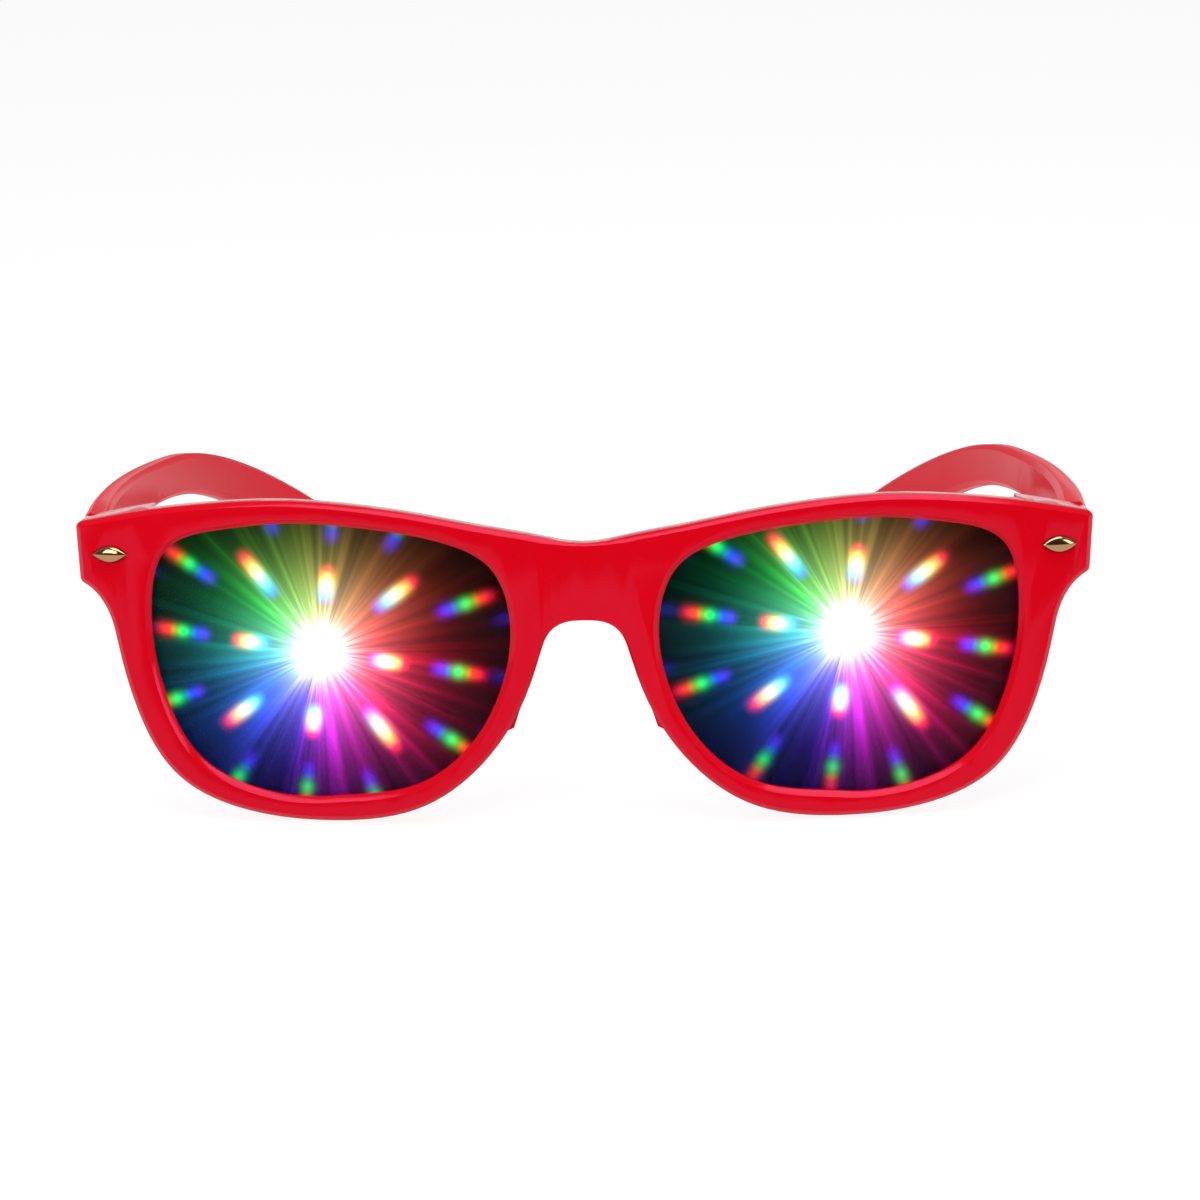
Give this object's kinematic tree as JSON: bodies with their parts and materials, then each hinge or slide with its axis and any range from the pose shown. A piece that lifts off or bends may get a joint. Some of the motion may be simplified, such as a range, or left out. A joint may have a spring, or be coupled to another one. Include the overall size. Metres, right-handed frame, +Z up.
{
  "type": "diffraction glasses",
  "caption": "Folding plastic glasses whose clear flat-tinted lenses carry a cross-ruled diffraction film that splits point lights into coloured spots.",
  "frame": {"origin": "centre of the bounding box in plan, at the surface that the rims and the temple tips stand on", "axes": "+X to the wearer's left, +Y from the front towards the ears, +Z up; the glasses lean back by about 8 degrees, as they do on a table"},
  "size_m": [0.1502, 0.1499, 0.046],
  "materials": {
    "frame_plastic": "gloss, injection moulded, one red through the whole frame",
    "temple_plastic": "gloss, injection moulded, the same red as the front",
    "lens_clear": "clear and polished",
    "grating_film": "clear film with a fine cross-ruled relief that splits light into colours",
    "stud_metal": "polished plate",
    "hinge_metal": "satin, stamped",
    "screw_metal": "turned and plated"
  },
  "bodies": {
    "front": {"frame_front": "frame_plastic", "left_lens": "lens_clear", "right_lens": "lens_clear", "left_grating_film": "grating_film", "right_grating_film": "grating_film", "left_front_stud": "stud_metal", "right_front_stud": "stud_metal", "left_hinge_front_leaf": "hinge_metal", "right_hinge_front_leaf": "hinge_metal", "left_front_leaf_screws": "screw_metal", "right_front_leaf_screws": "screw_metal", "left_hinge_screw": "screw_metal", "right_hinge_screw": "screw_metal"},
    "left_side": {"left_temple": "temple_plastic", "left_hinge_temple_leaf": "hinge_metal", "left_temple_leaf_screws": "screw_metal"},
    "right_side": {"right_temple": "temple_plastic", "right_hinge_temple_leaf": "hinge_metal", "right_temple_leaf_screws": "screw_metal"}
  },
  "joints": [
    {"name": "left_hinge", "type": "hinge", "parent": "front", "child": "left_side", "pos_m": [0.0677, -0.05328, 0.03641], "axis": [0, 0.1447, 0.9895], "range_deg": [0, 82]},
    {"name": "right_hinge", "type": "hinge", "parent": "front", "child": "right_side", "pos_m": [-0.0677, -0.05328, 0.03641], "axis": [0, -0.1447, -0.9895], "range_deg": [0, 75]}
  ]
}
